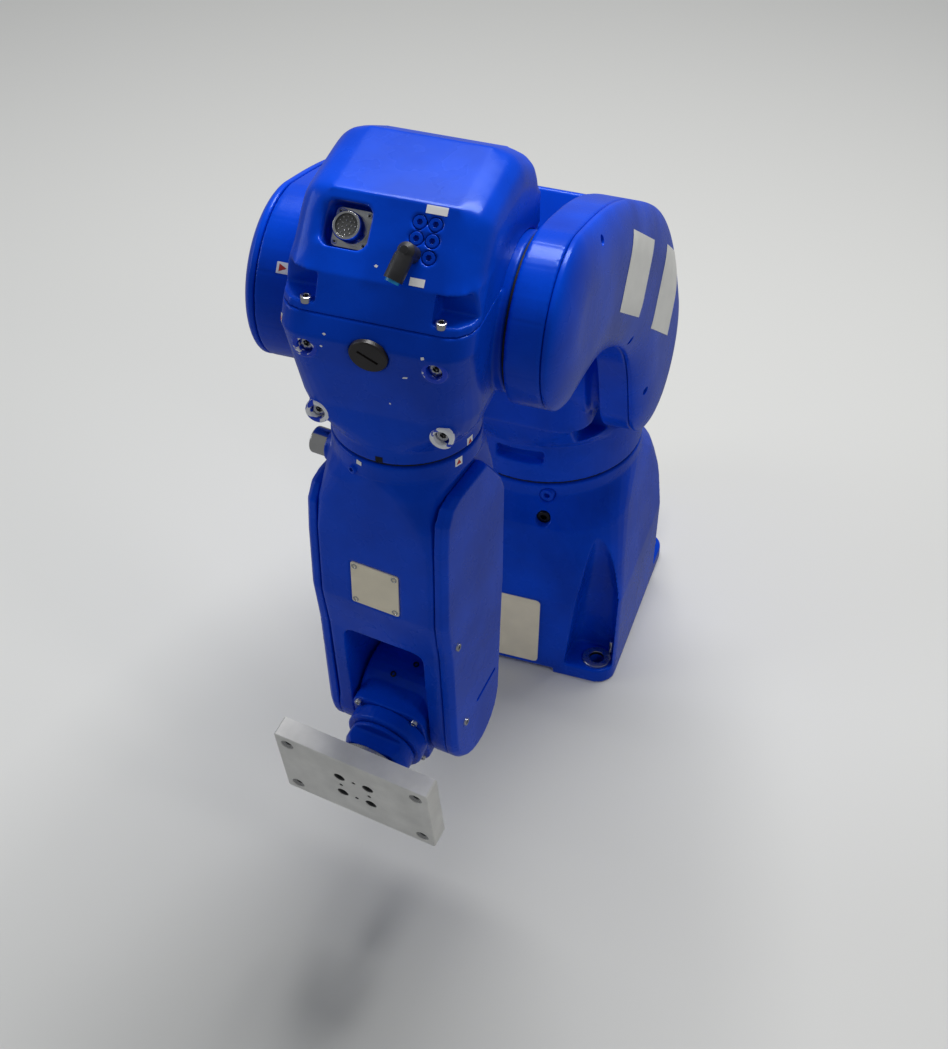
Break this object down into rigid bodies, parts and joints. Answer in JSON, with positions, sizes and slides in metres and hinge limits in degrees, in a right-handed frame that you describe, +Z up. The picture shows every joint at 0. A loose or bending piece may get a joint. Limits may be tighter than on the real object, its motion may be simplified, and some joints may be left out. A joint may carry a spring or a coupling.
{
  "type": "compact six-axis industrial robot arm",
  "caption": "Bolted-down articulated robot arm: base, swivel, forked lower arm, elbow, hanging forearm, bending wrist and a turning rectangular tool plate",
  "frame": {"origin": "on the slewing axis, in the plane of the base's mounting face", "axes": "+Z up along the slewing axis, the arm faces -Y, +X is the right side seen from in front of the arm"},
  "size_m": [0.223, 0.6355, 0.6504],
  "materials": {
    "air_fitting": "moulded black plastic",
    "air_fitting_collar": "moulded blue plastic",
    "air_inlet_left": "turned",
    "air_inlet_right": "turned",
    "air_port_plug_1": "blue enamel",
    "air_port_plug_2": "blue enamel",
    "air_port_plug_3": "blue enamel",
    "air_port_plug_4": "blue enamel",
    "air_port_plug_5": "blue enamel",
    "base_casting": "glossy blue enamel on a casting",
    "base_plug_lower": "turned",
    "base_plug_upper": "blue enamel",
    "data_plate": "thin plate, left bare",
    "elbow_housing": "glossy blue enamel on a casting",
    "elbow_top_cover": "glossy blue enamel on a casting",
    "foot_washer_front_left": "bare",
    "foot_washer_front_right": "bare",
    "foot_washer_rear_left": "bare",
    "foot_washer_rear_right": "bare",
    "forearm_casting": "glossy blue enamel on a casting",
    "forearm_left_cover": "glossy blue enamel on a cover",
    "forearm_right_cover": "glossy blue enamel on a cover",
    "inlet_panel": "plain sheet",
    "locating_pin": "bare",
    "lower_arm_casting": "glossy blue enamel on a casting",
    "lower_arm_left_cover": "glossy blue enamel on a cover",
    "lower_arm_right_cover": "glossy blue enamel on a cover",
    "multi_pin_connector": "plated",
    "power_inlet": "moulded black plastic",
    "signal_inlet": "plated",
    "slotted_plug": "moulded black plastic",
    "steel_stub": "polished",
    "swivel_housing": "glossy blue enamel on a casting",
    "swivel_rear_cover": "glossy blue enamel on a cover",
    "tool_flange": "machined",
    "tool_plate": "bare machined plate",
    "window_plate": "thin coated plate",
    "wrist_cap": "glossy blue enamel on a casting",
    "wrist_housing": "glossy blue enamel on a casting",
    "wrist_nose": "glossy blue enamel on a casting"
  },
  "bodies": {
    "base": {"base_casting": "base_casting", "inlet_panel": "inlet_panel", "power_inlet": "power_inlet", "signal_inlet": "signal_inlet", "air_inlet_left": "air_inlet_left", "air_inlet_right": "air_inlet_right", "base_plug_lower": "base_plug_lower", "base_plug_upper": "base_plug_upper", "data_plate": "data_plate", "locating_pin": "locating_pin", "foot_washer_front_left": "foot_washer_front_left", "foot_washer_front_right": "foot_washer_front_right", "foot_washer_rear_left": "foot_washer_rear_left", "foot_washer_rear_right": "foot_washer_rear_right"},
    "swivel": {"swivel_housing": "swivel_housing", "swivel_rear_cover": "swivel_rear_cover"},
    "lower_arm": {"lower_arm_casting": "lower_arm_casting", "lower_arm_left_cover": "lower_arm_left_cover", "lower_arm_right_cover": "lower_arm_right_cover"},
    "elbow": {"elbow_housing": "elbow_housing", "elbow_top_cover": "elbow_top_cover", "slotted_plug": "slotted_plug", "multi_pin_connector": "multi_pin_connector", "air_port_plug_1": "air_port_plug_1", "air_port_plug_2": "air_port_plug_2", "air_port_plug_3": "air_port_plug_3", "air_port_plug_4": "air_port_plug_4", "air_port_plug_5": "air_port_plug_5", "air_fitting": "air_fitting", "air_fitting_collar": "air_fitting_collar"},
    "forearm": {"forearm_casting": "forearm_casting", "forearm_left_cover": "forearm_left_cover", "forearm_right_cover": "forearm_right_cover", "window_plate": "window_plate", "steel_stub": "steel_stub"},
    "wrist": {"wrist_housing": "wrist_housing", "wrist_nose": "wrist_nose", "wrist_cap": "wrist_cap"},
    "tool": {"tool_flange": "tool_flange", "tool_plate": "tool_plate"}
  },
  "joints": [
    {"name": "swivel_turn", "type": "hinge", "parent": "base", "child": "swivel", "pos_m": [0, 0, 0.198], "axis": [0, 0, 1], "range_deg": [-170, 170]},
    {"name": "shoulder_lean", "type": "hinge", "parent": "swivel", "child": "lower_arm", "pos_m": [0, -0.04, 0.33], "axis": [1, 0, 0], "range_deg": [-117, 36]},
    {"name": "elbow_lift", "type": "hinge", "parent": "lower_arm", "child": "elbow", "pos_m": [0, -0.31186, 0.5424], "axis": [-1, 0, 0], "range_deg": [-32, 228]},
    {"name": "forearm_roll", "type": "hinge", "parent": "elbow", "child": "forearm", "pos_m": [0, -0.35186, 0.5424], "axis": [0, 0, -1], "range_deg": [-198.5, 181.5]},
    {"name": "wrist_bend", "type": "hinge", "parent": "forearm", "child": "wrist", "pos_m": [0, -0.35186, 0.2024], "axis": [-0.989, 0.1478, 0], "range_deg": [-192, 38]},
    {"name": "flange_turn", "type": "hinge", "parent": "wrist", "child": "tool", "pos_m": [-0.01152, -0.42896, 0.18441], "axis": [-0.144, -0.9637, -0.225], "range_deg": [-357.5, 362.5]}
  ]
}
